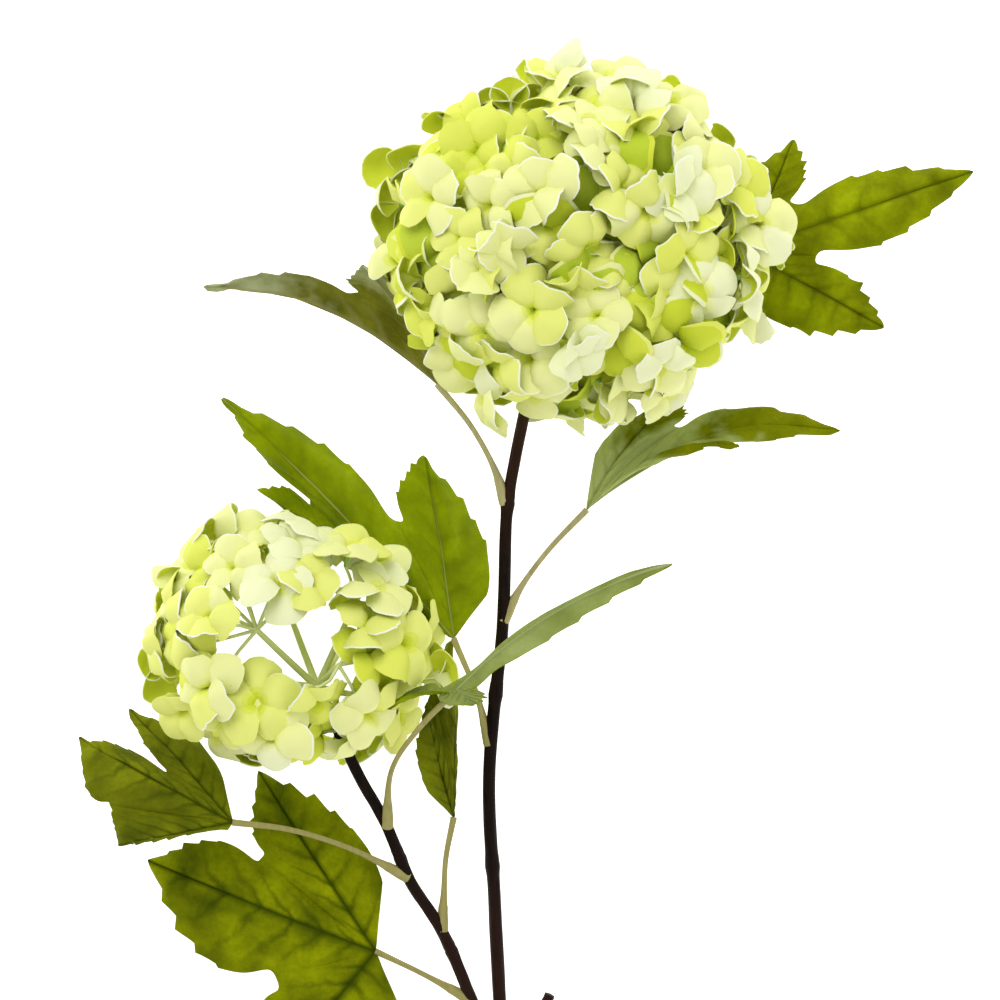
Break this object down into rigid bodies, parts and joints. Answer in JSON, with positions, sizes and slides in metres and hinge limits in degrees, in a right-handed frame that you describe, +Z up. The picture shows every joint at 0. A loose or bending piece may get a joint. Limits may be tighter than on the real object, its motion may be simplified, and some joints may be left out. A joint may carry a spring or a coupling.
{
  "type": "artificial snowball viburnum spray",
  "caption": "Artificial snowball viburnum spray, cut and lying down: round pale lime flower heads, lobed green leaves on thin stalks and dark forked stems.",
  "frame": {"origin": "under the middle of the spray's bounding box, on the level surface that it lies on", "axes": "+Z up, +Y along the stem from its cut end towards the large flower head, +X to the right of that as seen from above"},
  "size_m": [0.226, 0.2836, 0.0975],
  "materials": {
    "stem_plastic": "dark brown to near black moulded plastic with fine lengthwise grain",
    "petiole_plastic": "cream to olive moulded plastic over thin wire",
    "leaf_fabric": "printed green leaf cloth with pressed veins, paler and greyer underneath",
    "petal_fabric": "pale cream lime petal cloth, greener towards the middle of each floret"
  },
  "bodies": {
    "root": {"main_stem": "stem_plastic", "side_stem": "stem_plastic", "stem_stub": "stem_plastic", "petiole_upper_right": "petiole_plastic", "leaf_upper_right": "leaf_fabric", "petiole_upper_left": "petiole_plastic", "leaf_upper_left": "leaf_fabric", "petiole_mid_right": "petiole_plastic", "leaf_mid_right": "leaf_fabric", "petiole_mid_left": "petiole_plastic", "leaf_mid_left": "leaf_fabric", "petiole_front_narrow": "petiole_plastic", "leaf_front_narrow": "leaf_fabric", "petiole_hanging": "petiole_plastic", "leaf_hanging": "leaf_fabric", "petiole_lower_left": "petiole_plastic", "leaf_lower_left": "leaf_fabric", "petiole_bottom_left": "petiole_plastic", "leaf_bottom_left": "leaf_fabric", "large_flower_head": "petal_fabric", "small_flower_head": "petal_fabric"}
  },
  "joints": []
}
